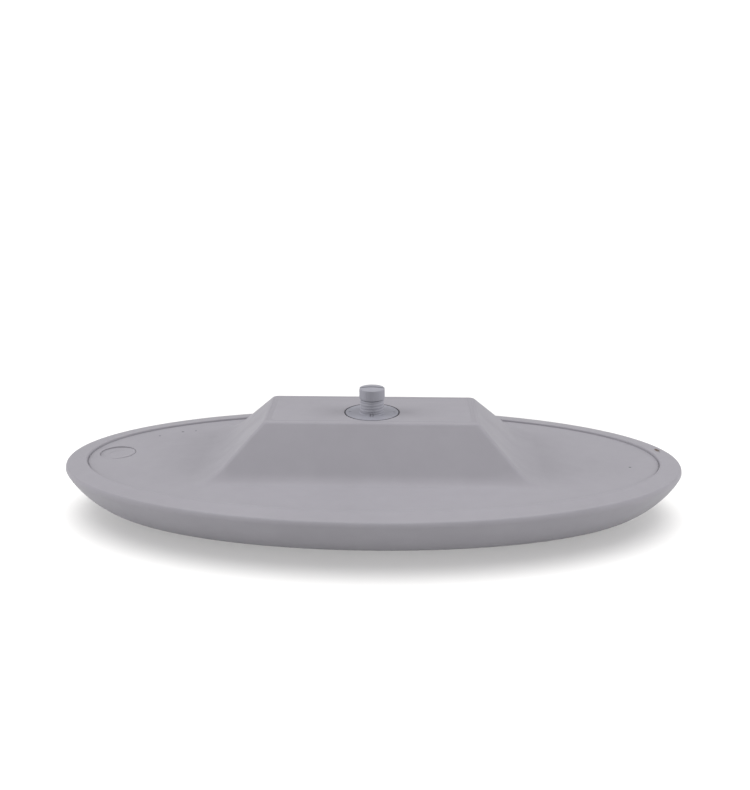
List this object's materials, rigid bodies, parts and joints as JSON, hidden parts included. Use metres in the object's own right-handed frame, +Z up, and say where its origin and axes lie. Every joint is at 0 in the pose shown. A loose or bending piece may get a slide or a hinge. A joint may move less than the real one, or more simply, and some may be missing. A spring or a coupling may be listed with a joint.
{
  "type": "radar dome antenna",
  "caption": "Shallow oval radar radome with a stepped rim, a pyramid-shaped mounting cover, a threaded stud with a slotted cap, and a geared scanner inside.",
  "frame": {"origin": "under the middle of the antenna, on the surface that its dome rests on", "axes": "+Z up along the mounting stud, +X along the oval's length"},
  "size_m": [0.616, 0.3159, 0.1331],
  "materials": {
    "radome_grey": "satin sprayed, slight orange peel",
    "cover_grey": "satin sprayed, fine grain",
    "insert_grey": "smooth moulded",
    "stud_grey": "smooth moulded, glass filled",
    "seal_rubber": "matt black rubber",
    "bead_rubber": "matt grey sealing bead",
    "membrane_white": "porous membrane",
    "plate_aluminium": "brushed sheet",
    "cast_aluminium": "machined casting",
    "screw_steel": "zinc plated",
    "bearing_steel": "ground steel",
    "gear_acetal": "moulded acetal",
    "pinion_brass": "machined brass",
    "magnet_nickel": "nickel plated",
    "board_green": "solder-masked board",
    "patch_gold": "gold flashed copper",
    "absorber_foam": "open-cell foam",
    "motor_black": "black enamelled can",
    "shield_tin": "tinned sheet",
    "pack_paper": "woven paper pouch"
  },
  "bodies": {
    "housing": {"dome_radome": "radome_grey", "rim_seal": "bead_rubber", "mounting_cover": "cover_grey", "mounting_disc": "insert_grey", "disc_seal": "seal_rubber", "mounting_stud": "stud_grey", "stud_washer": "screw_steel", "stud_nut": "stud_grey", "breather_membrane": "membrane_white", "chassis_plate": "plate_aluminium", "chassis_screws": "screw_steel", "bearing_housing": "cast_aluminium", "housing_screws": "screw_steel", "lower_bearing": "bearing_steel", "upper_bearing": "bearing_steel", "rotary_joint": "cast_aluminium", "index_sensor": "motor_black", "motor": "motor_black", "motor_screws": "screw_steel", "transceiver_board": "board_green", "transceiver_shield": "shield_tin", "control_board": "board_green", "power_board": "board_green", "board_standoffs": "pinion_brass", "board_screws": "screw_steel", "desiccant_pack": "pack_paper"},
    "scanner": {"spindle": "bearing_steel", "spindle_circlip": "bearing_steel", "scanner_gear": "gear_acetal", "gear_screws": "screw_steel", "index_magnet": "magnet_nickel", "array_carrier": "plate_aluminium", "carrier_screws": "screw_steel", "array_board": "board_green", "array_patches": "patch_gold", "array_screws": "screw_steel", "array_absorber": "absorber_foam"},
    "pinion": {"motor_shaft": "bearing_steel", "motor_pinion": "pinion_brass"},
    "cap": {"stud_cap": "stud_grey", "stud_cap_seal": "seal_rubber"},
    "plug": {"vent_plug": "cover_grey", "vent_plug_seal": "seal_rubber"}
  },
  "joints": [
    {"name": "scanner_spin", "type": "hinge", "parent": "housing", "child": "scanner", "pos_m": [0, 0, 0.05], "axis": [0, 0, 1], "continuous": true},
    {"name": "pinion_spin", "type": "hinge", "parent": "housing", "child": "pinion", "pos_m": [0.05625, 0, 0.05], "axis": [0, 0, 1], "continuous": true},
    {"name": "cap_draw", "type": "slide", "parent": "housing", "child": "cap", "axis": [0, 0, 1], "range_m": [0, 0.014]},
    {"name": "plug_draw", "type": "slide", "parent": "housing", "child": "plug", "axis": [0, 0, 1], "range_m": [0, 0.01]}
  ],
  "couplings": [
    {"joint": "pinion_spin", "follows": "scanner_spin", "ratio": -4}
  ]
}
